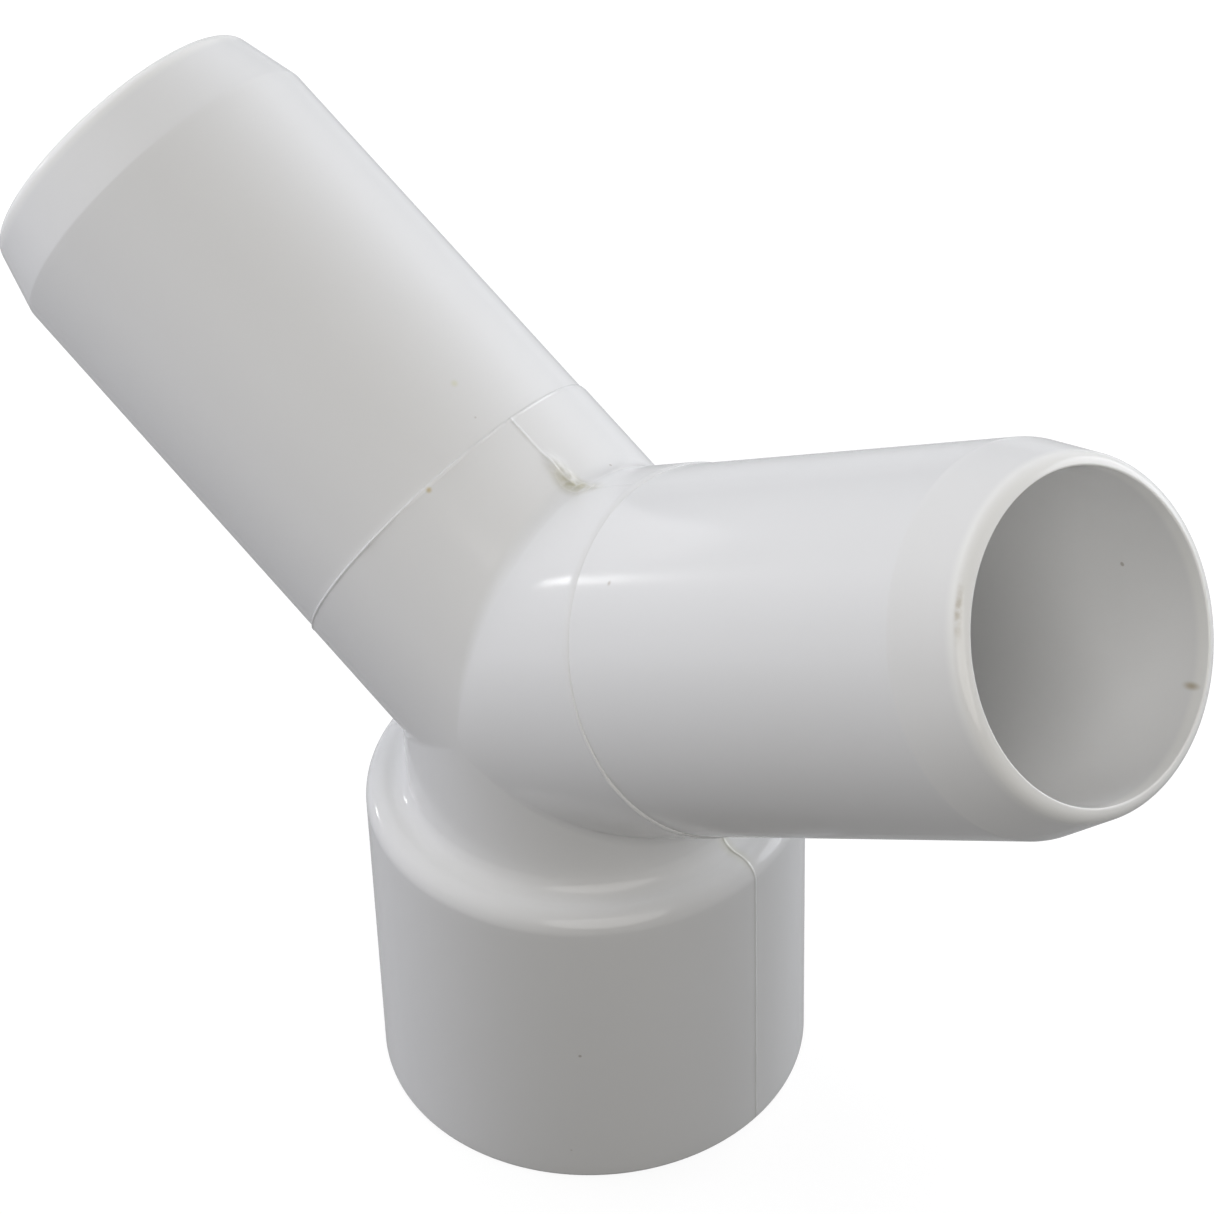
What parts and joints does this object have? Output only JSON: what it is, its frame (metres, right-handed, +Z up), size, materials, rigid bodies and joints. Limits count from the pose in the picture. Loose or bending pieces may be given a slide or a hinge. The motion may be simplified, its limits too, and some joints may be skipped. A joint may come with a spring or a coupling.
{
  "type": "three-way pvc pipe fitting",
  "caption": "Three-way wye fitting of white PVC: a slip socket below and plain pipe-size spigots at 120 degrees, with open passages that meet in the hub.",
  "frame": {"origin": "centre of the socket's mouth, in the plane of its rim", "axes": "+Z up along the socket towards the hub, +X towards the right spigot, both spigots in the XZ plane, 60 degrees from +Z"},
  "size_m": [0.1842, 0.0604, 0.1356],
  "materials": {
    "pvc": "white, satin to glossy, as moulded"
  },
  "bodies": {
    "root": {"socket": "pvc", "hub": "pvc", "spigot_left": "pvc", "spigot_right": "pvc"}
  },
  "joints": []
}
